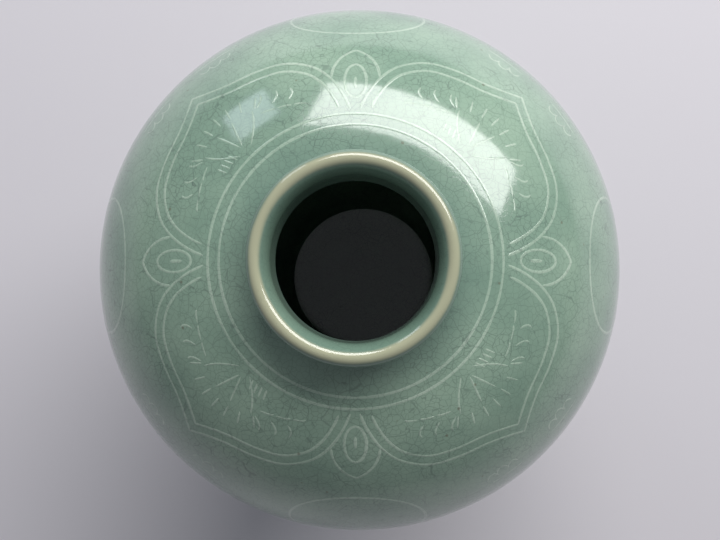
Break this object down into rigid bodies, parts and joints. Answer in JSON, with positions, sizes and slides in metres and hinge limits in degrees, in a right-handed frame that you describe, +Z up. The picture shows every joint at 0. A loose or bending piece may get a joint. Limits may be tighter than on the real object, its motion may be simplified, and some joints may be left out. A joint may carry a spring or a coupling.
{
  "type": "celadon jar",
  "caption": "Wide-shouldered stoneware jar with a short neck, rolled lip, turned foot ring and white slip inlaid in carved grooves.",
  "frame": {"origin": "centre of the foot, on the plane that the foot ring stands on", "axes": "+Z up along the jar's axis of turning; the roundels face +X, +Y, -X and -Y"},
  "size_m": [0.25, 0.25, 0.29],
  "materials": {
    "celadon_glaze": "glossy",
    "white_slip": "glossy"
  },
  "bodies": {
    "root": {"lower_body": "celadon_glaze", "upper_body": "celadon_glaze", "neck_and_lip": "celadon_glaze", "neck_ring_inner": "white_slip", "neck_ring_outer": "white_slip", "lobe_1_outer_line": "white_slip", "lobe_1_inner_line": "white_slip", "bud_1_arch": "white_slip", "bud_1_petal": "white_slip", "roundel_1": "white_slip", "lobe_2_outer_line": "white_slip", "lobe_2_inner_line": "white_slip", "bud_2_arch": "white_slip", "bud_2_petal": "white_slip", "roundel_2": "white_slip", "lobe_3_outer_line": "white_slip", "lobe_3_inner_line": "white_slip", "bud_3_arch": "white_slip", "bud_3_petal": "white_slip", "roundel_3": "white_slip", "lobe_4_outer_line": "white_slip", "lobe_4_inner_line": "white_slip", "bud_4_arch": "white_slip", "bud_4_petal": "white_slip", "roundel_4": "white_slip"}
  },
  "joints": []
}
